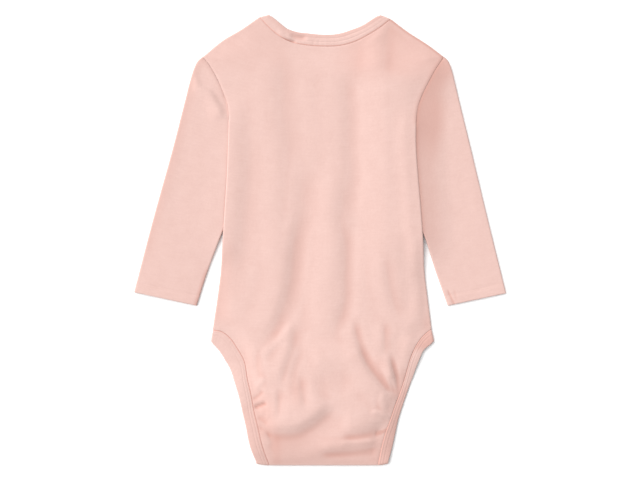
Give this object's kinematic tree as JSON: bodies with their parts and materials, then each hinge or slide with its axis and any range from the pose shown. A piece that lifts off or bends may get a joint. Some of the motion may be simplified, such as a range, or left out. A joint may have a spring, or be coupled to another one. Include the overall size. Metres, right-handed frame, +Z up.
{
  "type": "baby bodysuit",
  "caption": "Long-sleeved baby bodysuit in plain jersey, laid flat with its back up, with a bound neck and legs and a snap-fastened crotch.",
  "frame": {"origin": "middle of the outline as seen from above, on the surface that the garment lies on", "axes": "+Z up, out of the garment's back; +Y towards the neck; +X to the right as seen from above"},
  "size_m": [0.347, 0.4201, 0.0086],
  "materials": {
    "jersey_back": "soft matt interlock jersey, pale pink",
    "jersey_front": "soft matt interlock jersey, pale pink",
    "jersey_sleeve": "soft matt interlock jersey, pale pink",
    "jersey_band": "matt jersey folded double, pale pink",
    "snap_lacquer": "smooth pale pink lacquer"
  },
  "bodies": {
    "root": {"back_panel": "jersey_back", "front_panel": "jersey_front", "sleeve_left": "jersey_sleeve", "sleeve_right": "jersey_sleeve", "neckband": "jersey_band", "leg_binding_left": "jersey_band", "leg_binding_right": "jersey_band", "snap_cap_1": "snap_lacquer", "snap_cap_2": "snap_lacquer", "snap_cap_3": "snap_lacquer", "snap_stud_1": "snap_lacquer", "snap_stud_2": "snap_lacquer", "snap_stud_3": "snap_lacquer"}
  },
  "joints": []
}
